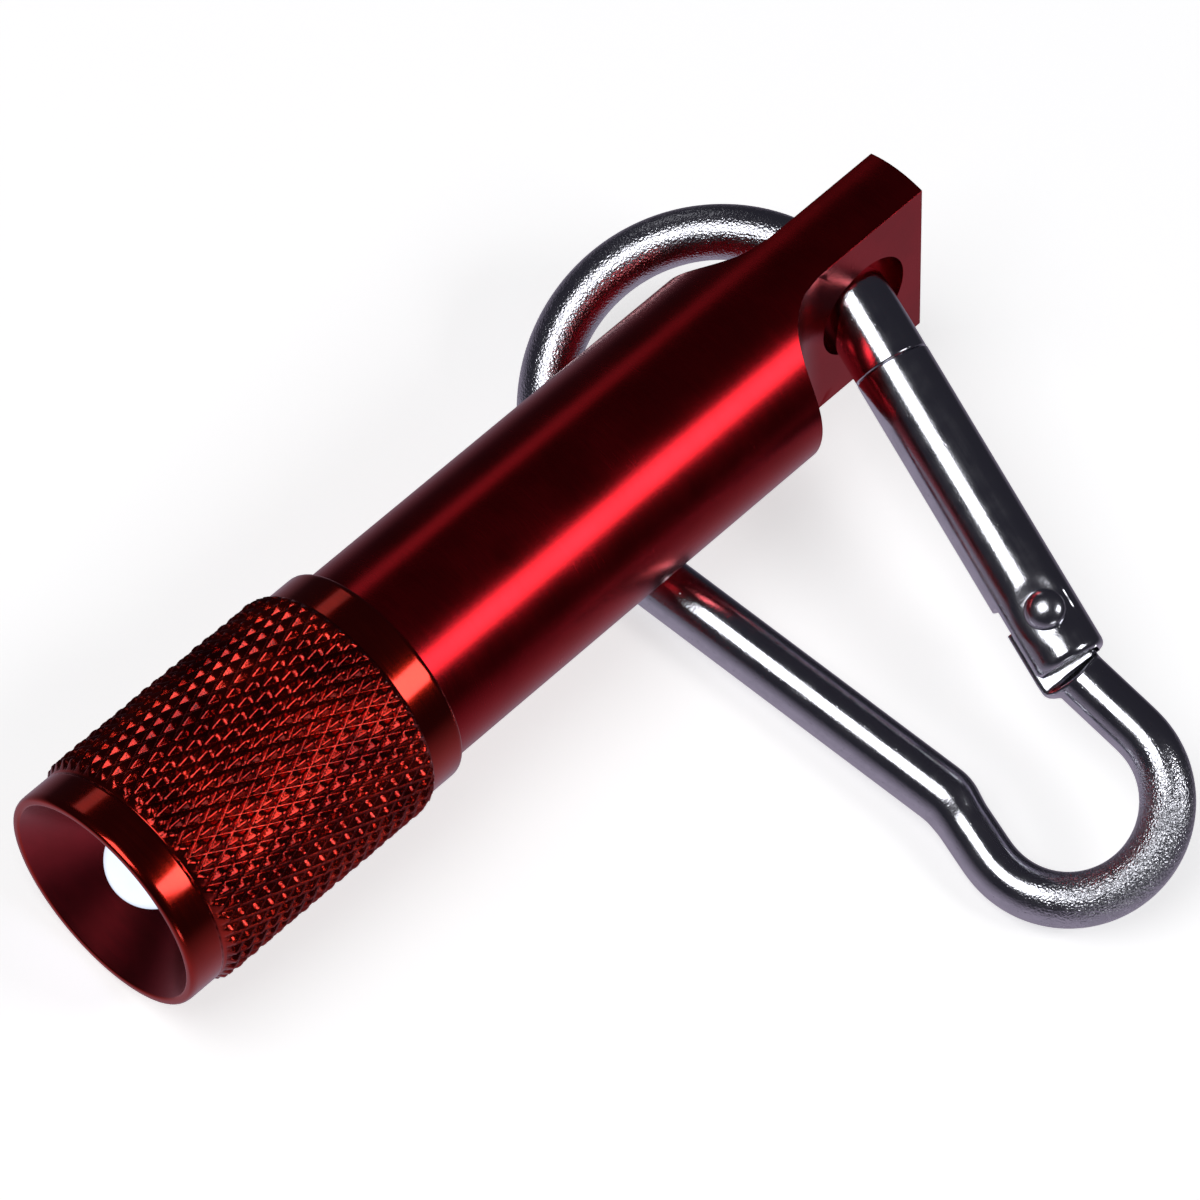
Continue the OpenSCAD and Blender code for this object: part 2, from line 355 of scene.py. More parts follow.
class Tree:
    """A material's or a world's nodes, added one after another and linked as they are made."""

    def __init__(self, owner: bpy.types.ID) -> None:
        """Empties the owner's tree."""
        self.owner = owner
        owner.use_nodes = True
        owner.node_tree.nodes.clear()

    def node(self, kind: str, inputs: Inputs, **settings: object) -> bpy.types.Node:
        """Adds a node.

        Args:
            kind: its type.
            inputs: the sockets or values that go into it, by name or number.
            settings: its own settings.

        Returns:
            The node.
        """
        made = self.owner.node_tree.nodes.new(kind)
        for key, value in settings.items():
            setattr(made, key, value)
        for key, value in inputs.items():
            if isinstance(value, Socket):
                self.owner.node_tree.links.new(value, made.inputs[key])
            else:
                made.inputs[key].default_value = value
        return made

    def out(self, kind: str, inputs: Inputs, output: str | int = 0, **settings: object) -> Socket:
        """Adds a node and returns one of its outputs."""
        return self.node(kind, inputs, **settings).outputs[output]

    def math(self, operation: str, a: object, b: object = 0.0, c: object = 0.0) -> Socket:
        """One sum: the operation's result for a, b and c."""
        return self.out("ShaderNodeMath", {0: a, 1: b, 2: c}, operation=operation)

    def span(self, value: object, low: float, high: float,
             to: Pair = (0, 1)) -> Socket:
        """A value's range from low to high, stretched smoothly to another range."""
        return self.out("ShaderNodeMapRange", {0: value, 1: low, 2: high, 3: to[0], 4: to[1]},
                        interpolation_type="SMOOTHSTEP")

    def mix(self, share: object, a: object, b: object) -> Socket:
        """Colour a turning into colour b as share goes from 0 to 1."""
        return self.out("ShaderNodeMix", {0: share, 6: a, 7: b}, 2, data_type="RGBA")

    def noise(self, vector: Socket, scale: float, detail: float = 2, rough: float = 0.5) -> Socket:
        """Cloudy noise from 0 to 1 at a number of features per millimetre."""
        return self.out("ShaderNodeTexNoise", {"Vector": vector, "Scale": scale, "Detail": detail,
                                               "Roughness": rough}, "Fac")

    def stretched(self, vector: Socket, by: Triple) -> Socket:
        """A vector with each part multiplied, so that a pattern runs out along the small ones."""
        return self.out("ShaderNodeVectorMath", {0: vector, 1: by}, operation="MULTIPLY")

    def carried(self, name: str, output: str = "Fac") -> Socket:
        """What each point of the piece carries under a name."""
        return self.out("ShaderNodeAttribute", {}, output, attribute_name=name)

    def place(self) -> Socket:
        """A point's place in the row frame."""
        return self.out("ShaderNodeTexCoord", {}, "Object")

    def stock(self, place: Place) -> Socket:
        """A point's place in its workpiece, in millimetres, the stock's length along z."""
        angles = Matrix(place.axes.tolist()).to_euler("XYZ")
        return self.out("ShaderNodeMapping", {
            "Vector": self.place(), "Location": tuple(place.origin), "Rotation": tuple(angles),
            "Scale": (MM, MM, MM)}, vector_type="TEXTURE")

    def bump(self, height: Socket, depth: float) -> Socket:
        """The normal of a surface that rises by the height, times a depth in micrometres."""
        return self.out("ShaderNodeBump", {"Height": height, "Distance": depth * 1e-6,
                                           "Strength": 1.0}, "Normal")

    def finish(self, inputs: Inputs) -> bpy.types.ID:
        """Puts a shader with these inputs on the surface and returns the material."""
        shader = self.out("ShaderNodeBsdfPrincipled", inputs)
        self.node("ShaderNodeOutputMaterial", {"Surface": shader})
        return self.owner


def material(name: str) -> Tree:
    """The empty tree of a new material."""
    return Tree(bpy.data.materials.new(name))


def lines(tree: Tree, stock: Socket, marks: Marks, per_mm: float) -> Socket:
    """Fine tool lines as noise that is long in one direction and short in the others.

    Args:
        tree: the material's nodes.
        stock: the place in the workpiece.
        marks: which way the lines run.
        per_mm: how many lines there are in a millimetre.

    Returns:
        A value from 0 to 1.
    """
    stretch = {Marks.AROUND: (0.05, 0.05, 1), Marks.ALONG: (1, 1, 0.03), Marks.NONE: (1, 1, 1)}
    return tree.noise(tree.stretched(stock, stretch[marks]), per_mm, 3, 0.6)


@dataclass(frozen=True)
class Anodised:
    """Dyed oxide on turned aluminium: a clear, glossy coat over coloured metal.

    Args:
        name: the finish's name.
        deep: the dye's colour where it lies thick.
        pale: its colour where it lies thin.
        rough: how matt the metal under the coat is.
        marks: which way the tool lines run.
        per_mm: lines in a millimetre.
        depth: height of the lines, in micrometres.
        coat: how strongly the clear coat mirrors.
        coat_rough: how matt the coat is.
        bare: whether the crests of a knurl are worn pale, with glints of bare metal.
    """

    name: str
    deep: RGBA
    pale: RGBA
    rough: float = 0.3
    marks: Marks = Marks.AROUND
    per_mm: float = 9.0
    depth: float = 2.0
    coat: float = 0.5
    coat_rough: float = 0.25
    bare: bool = False

    def build(self, place: Place) -> bpy.types.Material:
        """The material, its lines laid along the workpiece's own frame."""
        tree = material(self.name)
        stock = tree.stock(place)
        line = lines(tree, stock, self.marks, self.per_mm)
        cloud = tree.noise(stock, 0.35, 3)
        speck = tree.noise(stock, 7.0, 2, 0.7)
        colour = tree.mix(tree.span(cloud, 0.3, 0.7), self.deep, self.pale)
        if self.bare:
            crest = tree.carried(CREST)
            glint = tree.math("MULTIPLY", tree.span(crest, 1.02, 1.3), tree.span(speck, 0.56, 0.6))
            worn = tree.math("MULTIPLY", tree.span(crest, 0.6, 1.0), 0.3)
            colour = tree.mix(worn, colour, self.pale)
            colour = tree.mix(glint, colour, (0.75, 0.7, 0.68, 1))
        matt = tree.math("ADD", tree.span(line, 0.25, 0.75, (self.rough - 0.02, self.rough + 0.03)),
                         tree.span(cloud, 0.3, 0.7, (-0.01, 0.02)))
        height = tree.math("ADD", line, tree.math("MULTIPLY", speck, 0.6))
        return tree.finish({
            "Base Color": colour, "Metallic": 1.0, "Roughness": matt,
            "Normal": tree.bump(height, self.depth),
            "Coat Weight": self.coat, "Coat Roughness": self.coat_rough, "Coat IOR": 1.6})


@dataclass(frozen=True)
class Nickel:
    """Bright plating over drawn steel, its grain raised where the wire was bent.

    Args:
        name: the finish's name.
        colour: the metal's colour.
        rough: how matt it is where it is straight.
        depth: height of the die lines and the grain, in micrometres.
        pits: how many pits there are, as the share of the surface.
    """

    name: str
    colour: RGBA = (0.72, 0.725, 0.79, 1)
    rough: float = 0.15
    depth: float = 1.0
    pits: float = 0.3

    def build(self) -> bpy.types.Material:
        """The material, its lines laid along the wire."""
        tree = material(self.name)
        stock = tree.carried(SKIN, "Vector")
        bent = tree.carried(BENT)
        line = lines(tree, stock, Marks.ALONG, 7.0)
        cloud = tree.noise(stock, 0.9, 4, 0.6)
        grain = tree.noise(stock, 8.0, 1, 0.5)
        cells = tree.out("ShaderNodeTexVoronoi", {"Vector": stock, "Scale": 3.2,
                                                  "Randomness": 1.0}, "Distance")
        chosen = tree.span(tree.noise(stock, 1.1, 1), 0.66 - self.pits, 0.72 - self.pits)
        pit = tree.math("MULTIPLY", tree.span(cells, 0.02, 0.2, (1, 0)), chosen)
        colour = tree.mix(tree.span(cloud, 0.35, 0.75), self.colour,
                          tuple(0.9 * c for c in self.colour[:3]) + (1,))
        colour = tree.mix(tree.math("MULTIPLY", pit, 0.4), colour, (0.25, 0.23, 0.22, 1))
        even = tree.math("ADD", tree.span(cloud, 0.3, 0.75, (self.rough - 0.03, self.rough + 0.05)),
                         tree.span(line, 0.3, 0.7, (-0.01, 0.02)))
        matt = tree.math("MULTIPLY_ADD", bent, 0.13, even)
        raised = tree.math("MULTIPLY", grain, tree.math("MULTIPLY_ADD", bent, 75.0, 4.0))
        height = tree.math("SUBTRACT", tree.math("ADD", line, raised),
                           tree.math("MULTIPLY", pit, 5.0))
        return tree.finish({"Base Color": colour, "Metallic": 1.0, "Roughness": matt,
                            "Normal": tree.bump(height, self.depth)})


@dataclass(frozen=True)
class LitEpoxy:
    """Clear epoxy of a lamp that is switched on, its core whiter than its edge.

    Args:
        name: the finish's name.
        core: the light's colour at the dome's tip.
        edge: its colour at the dome's foot.
        glow: how bright it is.
        reach: the heights between which the edge's colour fades, in millimetres.
    """

    name: str = "lit_epoxy"
    core: RGBA = (0.78, 0.86, 1.0, 1)
    edge: RGBA = (0.25, 0.26, 0.72, 1)
    glow: float = 1.2
    reach: Pair = (50.4, 52.4)

    def build(self, place: Place) -> bpy.types.Material:
        """The material, its colours laid along the torch."""
        tree = material(self.name)
        stock = tree.stock(place)
        axial = tree.out("ShaderNodeSeparateXYZ", {0: stock}, "Z")
        streak = tree.noise(tree.stretched(stock, (1, 1, 0.2)), 0.9, 2)
        share = tree.math("ADD", tree.span(axial, *self.reach),
                          tree.span(streak, 0.35, 0.7, (-0.12, 0.15)))
        return tree.finish({
            "Base Color": (0.12, 0.12, 0.2, 1), "Coat Weight": 0.6, "Coat Roughness": 0.04,
            "Roughness": tree.span(streak, 0.3, 0.7, (0.04, 0.09)),
            "Emission Color": tree.mix(tree.span(share, 0, 1), self.edge, self.core),
            "Emission Strength": self.glow})


@dataclass(frozen=True)
class Hidden:
    """A plain workshop finish for an inside part: mottled colour and a fine, even grain.

    Args:
        name: the finish's name.
        colour: its colour.
        metal: 1 for metal and 0 for anything else.
        rough: how matt it is.
        grain: features of the grain in a millimetre.
    """

    name: str
    colour: RGBA
    metal: float = 0.0
    rough: float = 0.45
    grain: float = 6.0

    def build(self, place: Place) -> bpy.types.Material:
        """The material, its grain laid in the given frame."""
        tree = material(self.name)
        stock = tree.stock(place)
        cloud, grain = tree.noise(stock, 0.8, 3), tree.noise(stock, self.grain, 2)
        dark = tuple(0.72 * c for c in self.colour[:3]) + (1,)
        return tree.finish({
            "Base Color": tree.mix(tree.span(cloud, 0.3, 0.7), self.colour, dark),
            "Metallic": self.metal, "Normal": tree.bump(grain, 4.0),
            "Roughness": tree.span(cloud, 0.3, 0.7, (self.rough - 0.06, self.rough + 0.08))})


# ---- the torch's body


@dataclass
class BodyTube:
    """The turned tube with its flattened, drilled tail and the threaded neck inside the head."""

    place: Place
    radius: float = 6.0
    shoulder: float = 36.0
    neck_radius: float = 5.4
    neck_end: float = 43.5
    groove: float = 41.2
    bore: float = 4.5
    bore_end: float = 14.0
    tail: float = 4.5
    tab: float = 3.7
    flat_end: float = 3.4
    hole: float = 3.1
    side_steps: int = 12
    flat_steps: int = 64
    strip_steps: int = 12

    def shell(self) -> Shell:
        """Builds the barrel, the milled flats with their run-outs, the hole and the tail's end.

        Returns:
            The closed shell.
        """
        half = self.tab / 2
        corner = math.asin(half / self.radius)
        side = np.linspace(-corner, corner, self.side_steps + 1)
        top = np.linspace(corner, math.pi - corner, self.flat_steps + 1)
        angles = np.concatenate([side[:-1], top[:-1], side[:-1] + math.pi, top[:-1] + math.pi])
        run = self.radius - half
        height = np.maximum(self.radius * np.abs(np.sin(angles)), half)
        start = self.flat_end + np.sqrt(np.maximum(run ** 2 - (self.radius - height) ** 2, 0))
        share = smoothstep(-0.15, 1.15, np.linspace(0, 1, 44))
        share = (share - share[0]) / (share[-1] - share[0])
        z = start + (self.shoulder - start) * share[:, None]
        barrel = polar(self.radius, angles, z)
        g, n = self.groove, self.neck_radius
        inner = rounded([(self.shoulder, self.radius), (self.shoulder, n), (g - 0.35, n),
                         (g - 0.35, 4.9), (g + 0.35, 4.9), (g + 0.35, n), (self.neck_end, n),
                         (self.neck_end, self.bore), (self.bore_end, self.bore),
                         (self.bore_end, 0)],
                        [0, 0.1, 0.05, 0.05, 0.05, 0.05, 0.15, 0.1, 0.3, 0])
        shell = Shell(self.place)
        shell.add(barrel, loop_cols=True)
        shell.add(revolved(inner, angles), loop_cols=True)
        for sign in (1, -1):
            self.add_flat(shell, top, sign)
        rows = np.linspace(0, 1, self.strip_steps + 1)[:, None]
        for flip in (0, math.pi):
            z = (self.flat_end + self.tail) * rows - self.tail
            shell.add(polar(self.radius, side + flip, z))
        share = np.cos(top) / math.cos(corner)
        y = (self.radius * np.sin(side))[:, None]
        x = share * (self.radius * np.cos(side))[:, None]
        shell.add(sheet(x, y, -self.tail))
        return shell

    def add_flat(self, shell: Shell, top: np.ndarray, sign: int) -> None:
        """Adds one side's flat, half of the hole's wall and the cutter's round run-out.

        The run-out at width x is (x, R - run cos b, flat_end + run sin b), for b from 0 to where
        it meets the tube. The flat is ruled between the hole's circle and its own outline.

        Args:
            shell: the shell that takes the patches.
            top: the tube's angles over the flat.
            sign: 1 for one side of the tail and -1 for the other.
        """
        half = self.tab / 2
        run = self.radius - half
        x = self.radius * np.cos(top)
        meet = np.arccos(np.clip((self.radius - self.radius * np.sin(top)) / run, -1, 1))
        b = meet * np.linspace(0, 1, 17)[:, None]
        shell.add(sheet(x, sign * (self.radius - run * np.cos(b)),
                        self.flat_end + run * np.sin(b)))
        fall = np.linspace(0, 1, self.strip_steps + 1)[1:-1]
        left = self.flat_end - (self.flat_end + self.tail) * fall
        outline = np.concatenate([sheet(x, self.flat_end), sheet(x[-1], left),
                                  sheet(x, -self.tail)[::-1], sheet(x[0], left)[::-1]])
        around = np.arctan2(outline[:, 1], outline[:, 0])
        circle = polar(self.hole, around)
        share = np.linspace(0, 1, 7)[:, None, None]
        flat = circle + (outline - circle) * share
        shell.add(sheet(flat[..., 0], sign * half, flat[..., 1]), loop_cols=True)
        depth = sign * np.linspace(0, half, 4)[:, None]
        shell.add(sheet(circle[:, 0], depth, circle[:, 1]), loop_cols=True)

    def make(self) -> None:
        """Builds the tube and dresses it."""
        red = Anodised("crimson_anodise", (0.47, 0.004, 0.010, 1), (0.55, 0.006, 0.014, 1),
                       rough=0.23, per_mm=14, depth=0.9, coat=0.15).build(self.place)
        piece("tube_body", self.shell(), "torch", [red], ["body_tube"], Edge(0.09))


# ---- the head


@dataclass
class TwistHead:
    """The turned head: rear collar, knurled grip, front ring and the bright cone round the lamp."""

    place: Place
    collar: Triple = (34.9, 37.1, 6.55)
    grip: Triple = (37.1, 51.9, 7.0)
    lip: Pair = (54.3, 6.62)
    mouth: float = 6.15
    skirt: float = 6.15
    root: float = 6.62
    cone_end: float = 49.9
    lamp_hole: float = 2.6
    grooves: int = 48
    pitch: float = 1.8
    steps: int = 10
    knurl_depth: float = 0.34
    crest_cut: float = 0.86
    run_out: float = 0.9

    def knurl(self) -> tuple[np.ndarray, np.ndarray, np.ndarray]:
        """Diamonds between two crossing sets of grooves.

        With u = N a / turn + z / pitch and v = N a / turn - z / pitch, the height is one less
        the larger of the two distances from a ridge's middle, cut off a little below the point.
        Each diamond stands a little lower than full, by the fraction of the sine of its number
        times a large one. A cell's diagonal follows the ridge that crosses it.

        Returns:
            The grid of points, its triangles, and how high each point is from 0 to 1.
        """
        start, end, top = self.grip
        dz = self.pitch / self.steps
        rows = int(round((end - start) / dz)) + 1
        cols = self.grooves * self.steps
        i, j = np.arange(rows)[:, None], np.arange(cols)[None, :]
        z = start + (end - start) * i / (rows - 1)
        u, v = (j + i) / self.steps, (j - i) / self.steps
        off = [np.abs(np.mod(w, 1) - 0.5) * 2 for w in (u, v)]
        raw = 1 - np.maximum(*off)
        high = np.minimum(raw, self.crest_cut) / self.crest_cut
        cell = np.floor(u) * 7.13 + np.floor(np.mod(v, self.grooves)) * 3.71
        jitter = np.mod(np.sin(cell) * 43.7585, 1)
        high = high * (0.9 + 0.1 * jitter)
        radius = top - self.knurl_depth * (1 - high)
        ends = np.minimum(z - start, end - z) * self.run_out + self.root
        radius = np.minimum(radius, np.maximum(ends, self.root))
        angle = j / cols * 2 * math.pi
        grid = polar(radius, angle, z)
        quads = grid_faces(rows, cols, loop_cols=True)
        rising = ((i[:-1] + j + 1) % self.steps == 0).reshape(-1, 1)
        halves = [np.where(rising, quads[:, yes], quads[:, no])
                  for yes, no in (([0, 1, 3], [0, 1, 2]), ([1, 2, 3], [0, 2, 3]))]
        return grid, np.concatenate(halves), high + 0.5 * (z - start < 0.5)

    def shell(self) -> Shell:
        """Builds the whole head as one closed ring.

        Returns:
            The shell: finish 0 on the knurl, 1 on turned faces, 2 in the cone, 3 inside.
        """
        angles = turn(self.grooves * self.steps)
        (back, front, r), skirt, root = self.collar, self.skirt, self.root
        collar = rounded([(back + 1.4, skirt), (back, skirt), (back, r), (front, r), (front, root)],
                         [0, 0.08, 0.34, 0.12, 0], 5)
        (tip, lip_r), start = self.lip, self.grip[1]
        ring = rounded([(start, root), (start + 0.12, lip_r - 0.08), (start + 0.3, lip_r),
                        (tip, lip_r), (tip, self.mouth), (self.cone_end, self.lamp_hole)],
                       [0, 0.05, 0.1, 0.5, 0.1, 0], 8)
        split = len(ring) - 1
        cone = np.linspace(ring[split - 1], ring[split], 14)
        inside = rounded([(self.cone_end, self.lamp_hole), (46, self.lamp_hole), (46, 4.6),
                          (43.8, 4.6), (43.8, 5.5), (36.3, 5.5), (36.3, skirt),
                          (back + 1.4, skirt)],
                         [0, 0.1, 0.1, 0.1, 0.1, 0.1, 0.1, 0], 3)
        grid, faces, high = self.knurl()
        shell = Shell(self.place)
        for finish, profile in ((1, collar), (1, ring[:split]), (2, cone), (3, inside)):
            part = revolved(profile, angles)
            shell.add(part, finish=finish, loop_cols=True, crest=np.zeros(part.shape[:2]))
        shell.add(grid, faces, finish=0, crest=high)
        return shell

    def make(self) -> None:
        """Builds the head and dresses its knurl, turned faces, cone and inside."""
        grip = Anodised("knurl_anodise", (0.22, 0.0025, 0.002, 1), (0.58, 0.026, 0.013, 1),
                        rough=0.17, marks=Marks.NONE, per_mm=8, depth=16, coat=0.25,
                        coat_rough=0.12, bare=True)
        faces = Anodised("head_anodise", (0.48, 0.014, 0.005, 1), (0.58, 0.022, 0.009, 1),
                         rough=0.16, depth=0.6, coat=0.35, coat_rough=0.1)
        cone = Anodised("cone_anodise", (0.36, 0.008, 0.015, 1), (0.46, 0.013, 0.025, 1), rough=0.3,
                        per_mm=8, depth=0.7, coat=0.5, coat_rough=0.3)
        inside = Anodised("thread_anodise", (0.4, 0.01, 0.01, 1), (0.5, 0.02, 0.02, 1), per_mm=3)
        piece("head_turned", self.shell(), "head",
              [f.build(self.place) for f in (grip, faces, cone, inside)], ["head_shell"])


@dataclass
class Lamp:
    """The round-nosed lamp: flange, barrel and dome of clear epoxy."""

    place: Place
    back: float = 44.6
    flange: Pair = (2.9, 1.0)
    radius: float = 2.5
    dome: float = 50.7

    def make(self) -> None:
        """Builds the lamp as a turned profile that ends in a half circle, and lights it."""
        a = np.linspace(0, math.pi / 2, 25)
        dome = np.stack([self.dome + self.radius * np.sin(a), self.radius * np.cos(a)], 1)
        wide, thick = self.flange
        foot = rounded([(self.back, 0), (self.back, wide), (self.back + thick, wide),
                        (self.back + thick, self.radius), (self.dome - 0.01, self.radius)],
                       [0, 0.12, 0.12, 0.1, 0], 3)
        shell = Shell(self.place)
        shell.add(revolved(np.concatenate([foot, dome]), turn(72)), loop_cols=True)
        piece("lamp_dome", shell, "head", [LitEpoxy().build(self.place)],
              ["led_lens"])


# ---- the snap hook


def capped(grid: np.ndarray) -> np.ndarray:
    """The grid with one more row at each end, all of it at the middle of that end."""
    first, last = (np.broadcast_to(grid[k].mean(0), grid[:1].shape) for k in (0, -1))
    return np.concatenate([first, grid, last])


def swept(path: np.ndarray, size: np.ndarray, exponent: np.ndarray, shift: np.ndarray,
          sides: int = 56) -> tuple[np.ndarray, np.ndarray]:
    """A bar along a flat path, closed at both ends.

    At each point the section is c + a sgn(cos)|cos|^(2/p) n + b sgn(sin)|sin|^(2/p) z, which is an
    ellipse for p = 2 and nears a rectangle as p grows. n is the path's in-plane normal.

    Args:
        path: n by 2 points in the plane, in millimetres.
        size: n by 2 half widths, in the plane and across it.
        exponent: p at each point.
        shift: how far the section's middle c is moved along n.
        sides: points round the section.

    Returns:
        The grid of points and the same points in the bar's own straight frame.
    """
    step = np.gradient(path, axis=0)
    step /= np.linalg.norm(step, axis=1, keepdims=True)
    normal = np.stack([-step[:, 1], step[:, 0]], 1)
    a = turn(sides)
    power = (2 / exponent)[:, None]
    u = size[:, :1] * np.sign(np.cos(a)) * np.abs(np.cos(a)) ** power + shift[:, None]
    w = size[:, 1:] * np.sign(np.sin(a)) * np.abs(np.sin(a)) ** power
    grid = sheet(path[:, :1] + u * normal[:, :1], path[:, 1:] + u * normal[:, 1:], w)
    return capped(grid), capped(sheet(u, w, lengths(path)[:, None]))


def degrees(angle: float) -> np.ndarray:
    """The unit vector at an angle in the plane."""
    return polar(1, math.radians(angle))


@dataclass
class SnapHook:
    """The bent wire of the hook, its sprung gate and the rivet that holds them together."""

    place: Place
    loop: float = 9.4
    nose_angle: float = 166.7
    nose_inset: float = 0.37
    inset_fade: float = 40.0
    gate_angle: float = 75.8
    back_angle: float = 8.1
    back_length: float = 22.5
    eye: Pair = (1.75, 28.3)
    eye_radius: float = 5.2
    eye_from: float = -11.6
    eye_to: float = 181.7
    wire: float = 1.5
    back_wire: float = 1.65
    nose_wire: float = 2.13
    nose_length: float = 3.12
    nose_back: float = 1.2
    nose_taper: float = 1.3
    tang_sides: Pair = (2.1, 1.5)
    tang_half: float = 0.8
    tang_start: float = 0.5
    tang_round: float = 1.3
    gate_radius: float = 2.15
    gate_ends: Pair = (3.22, 21.8)
    slot: Triple = (17.3, 1.1, 1.7)
    rim: Pair = (0.45, 0.3)
    rivet: Pair = (18.85, 0.35)
    dish: Triple = (0.9, 2.0, 0.14)
    loop_grain: Pair = (0.5, 4.0)
    eye_grain: Triple = (1.5, 2.5, 8.0)
    step: float = 0.12

    def nose(self) -> np.ndarray:
        """Where the gate's line starts, a little inside the big loop."""
        return (self.loop - self.nose_inset) * degrees(self.nose_angle)

    def gate_place(self) -> Place:
        """The gate's frame: z along it from the nose, x outwards and y across the hook's plane."""
        along = np.append(degrees(self.gate_angle), 0)
        up = np.array([0, 0, 1.0])
        axes = np.stack([np.cross(up, along), up, along], 1)
        return self.place.moved(np.append(self.nose(), 0), axes)

    def centre_line(self) -> tuple[np.ndarray, np.ndarray]:
        """The wire's middle line from its nose to the tang.

        The big loop's radius is its own less the nose's inset, which dies away over inset_fade
        degrees.

        Returns:
            n by 2 points, evenly spaced with the corners eased, and the distances at which the
            big loop starts and ends, the back bends, the eye starts, and its leg meets the gate's
            line.
        """
        def arc(centre: Sequence[float], radius: float | np.ndarray, a: np.ndarray) -> np.ndarray:
            """Points at angles in degrees round a centre."""
            return np.asarray(centre) + polar(radius, np.radians(a))
        back = self.loop * degrees(self.back_angle)
        kink = back + self.back_length * degrees(self.back_angle + 90)
        a = np.linspace(self.nose_angle, 360 + self.back_angle, 120)
        inset = self.nose_inset * (
            1 - smoothstep(self.nose_angle, self.nose_angle + self.inset_fade, a))
        loop = arc((0, 0), self.loop - inset, a)
        eye = arc(self.eye, self.eye_radius, np.linspace(self.eye_from, self.eye_to, 90))
        tip, leg, end = (self.nose() + d * degrees(self.gate_angle) for d in (
            self.nose_length, self.gate_ends[1] + 0.5, self.rivet[0] - self.tang_round))
        rough = np.concatenate([[tip], loop, [kink], eye, [leg, end]])
        along = lengths(rough)
        main = along[[1, len(loop), len(loop) + 1, len(loop) + 2, -2]]
        even = np.linspace(0, along[-1], int(along[-1] / self.step))
        line = np.stack([np.interp(even, along, rough[:, k]) for k in (0, 1)], 1)
        spread = 6
        weight = np.hanning(2 * spread + 3)[1:-1]
        weight /= weight.sum()
        padded = np.pad(line, ((spread, spread), (0, 0)), mode="reflect", reflect_type="odd")
        return np.stack([np.convolve(padded[:, k], weight, "valid") for k in (0, 1)], 1), main

    def frame_shell(self) -> Shell:
        """Builds the wire with its swelling nose, stouter back and flat tang.

        The tang's edges are straight from the gate's end to the rivet and then follow a circle
        round it, at sqrt(R^2 - d^2) to either side of the rivet's middle. The grain is full where
        the eye was bent, fades to either side of it, and is fainter on the big loop.

        Returns:
            The closed shell.
        """
        path, (loop_start, loop_end, kink, eye_start, leg) = self.centre_line()
        along = lengths(path)
        swell = 1 - smoothstep(self.nose_back, self.nose_back + self.nose_taper,
                               along - loop_start)
        stout = (smoothstep(loop_end, loop_end + 2.2, along)
                 - smoothstep(kink - 0.2, kink + 1.6, along))
        r = self.wire + (self.nose_wire - self.wire) * swell + (self.back_wire - self.wire) * stout
        flat = smoothstep(leg - self.tang_start, leg, along)
        past = (along - (along[-1] - self.tang_round)).clip(0, self.tang_round)
        round_half = np.sqrt(np.maximum(self.tang_round ** 2 - past ** 2, 0.05))
        inner, outer = (np.where(past > 0, round_half + sign * self.rivet[1], side)
                        for sign, side in zip((-1, 1), self.tang_sides))
        inner, outer = (r + (side - r) * flat for side in (inner, outer))
        half = np.stack([(inner + outer) / 2, r + (self.tang_half - r) * flat], 1)
        (faint, ease), (before, near, far) = self.loop_grain, self.eye_grain
        on_loop = (smoothstep(loop_start, loop_start + ease, along)
                   * (1 - smoothstep(loop_end - ease, loop_end, along)))
        from_bend = np.abs(along - ((eye_start + leg) / 2 - before))
        bent = faint * on_loop + 1 - smoothstep(near, far, from_bend)
        grid, skin = swept(path, half, 2 + 7 * flat, (inner - outer) / 2)
        bent = np.pad(bent, 1, mode="edge")[:, None] + 0 * grid[..., 0]
        return Shell(self.place).add(grid, loop_cols=True, skin=skin, bent=bent)

    def dimple(self, grid: np.ndarray) -> np.ndarray:
        """Sinks the gate's skin in a shallow dish round the rivet.

        The depth is a smooth step of the distance from the rivet's axis, from the full dish at
        the first of its two radii to nothing at the second, and only the cheeks' skin is moved.

        Args:
            grid: points in the gate's frame.

        Returns:
            The moved points.
        """
        x, y, z = np.moveaxis(grid, -1, 0)
        away = np.hypot(x - self.rivet[1], z - self.rivet[0])
        near, far, deep = self.dish
        sink = deep * (1 - smoothstep(near, far, away)) * (np.abs(y) > self.slot[1] + 0.2)
        return np.stack([x, y - np.sign(y) * sink, z], -1)

    def gate_shell(self) -> Shell:
        """Builds the gate: a plain bar whose last part is slotted from the hook's inner side.

        The slotted part is a C. Its skin is the circle r(z) up to the slot's corners, where
        sin a = h / r, and its inside is the slot's two walls and its floor. The slot's end face is
        ruled from the bar's circle to the floor.

        Returns:
            The closed shell.
        """
        (front, end), (slot, half, floor), (rim, fall) = self.gate_ends, self.slot, self.rim
        n_wall, n_floor = 44, 18
        turn_in = math.atan2(half, floor)
        z = np.concatenate([np.linspace(slot, end - rim - 0.02, 30),
                            end - rim + rim * np.sin(np.linspace(0.2, math.pi / 2, 7))])
        r = self.gate_radius - fall * (1 - np.sqrt(1 - (1 - (end - z).clip(0, rim) / rim) ** 2))
        corner = math.pi - np.arcsin(half / r)[:, None]
        share = np.linspace(0, 1, n_wall + 1)
        wall = corner + (turn_in - corner) * share
        middle = np.linspace(turn_in, -turn_in, n_floor + 1)[1:-1] + 0 * corner
        a = np.concatenate([wall, middle, -wall[:, ::-1]], 1)
        skin = self.dimple(polar(r[:, None], a, z[:, None]))
        edge = r[:, None] * np.cos(corner)
        x = edge + (floor - edge) * share
        x = np.concatenate([x, np.full((len(z), n_floor - 1), floor), x[:, ::-1]], 1)
        y = np.concatenate([np.full(n_wall + 1, half), np.linspace(half, -half, n_floor + 1)[1:-1],
                            np.full(n_wall + 1, -half)])
